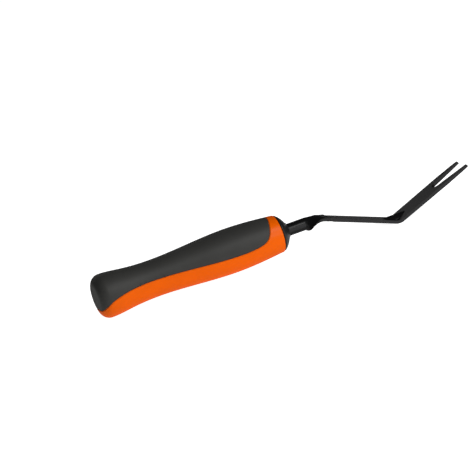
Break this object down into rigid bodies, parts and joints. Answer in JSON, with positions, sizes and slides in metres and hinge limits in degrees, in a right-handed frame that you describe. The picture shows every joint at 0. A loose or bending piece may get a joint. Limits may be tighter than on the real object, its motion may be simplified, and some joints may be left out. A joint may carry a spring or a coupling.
{
  "type": "hand weeder",
  "caption": "One-hand garden weeder: a two-colour contoured handle with a black nose, and a stamped steel strip cranked up into a notched fork.",
  "frame": {"origin": "centre of the flat butt face, on the handle's axis", "axes": "+X along the handle's axis from the butt towards the fork, +Y across the blade, +Z to the inside of the crank, where the soft grip is"},
  "size_m": [0.2982, 0.0334, 0.0383],
  "materials": {
    "coated_steel": "semi-gloss black coating on stamped steel",
    "nose_plastic": "black moulded plastic, low sheen",
    "core_plastic": "black moulded plastic, hidden",
    "orange_plastic": "satin orange moulded plastic",
    "grip_rubber": "matt dark grey thermoplastic elastomer, fine texture"
  },
  "bodies": {
    "root": {"blade": "coated_steel", "ferrule": "nose_plastic", "handle_core": "core_plastic", "handle_shell": "orange_plastic", "soft_grip": "grip_rubber"}
  },
  "joints": []
}
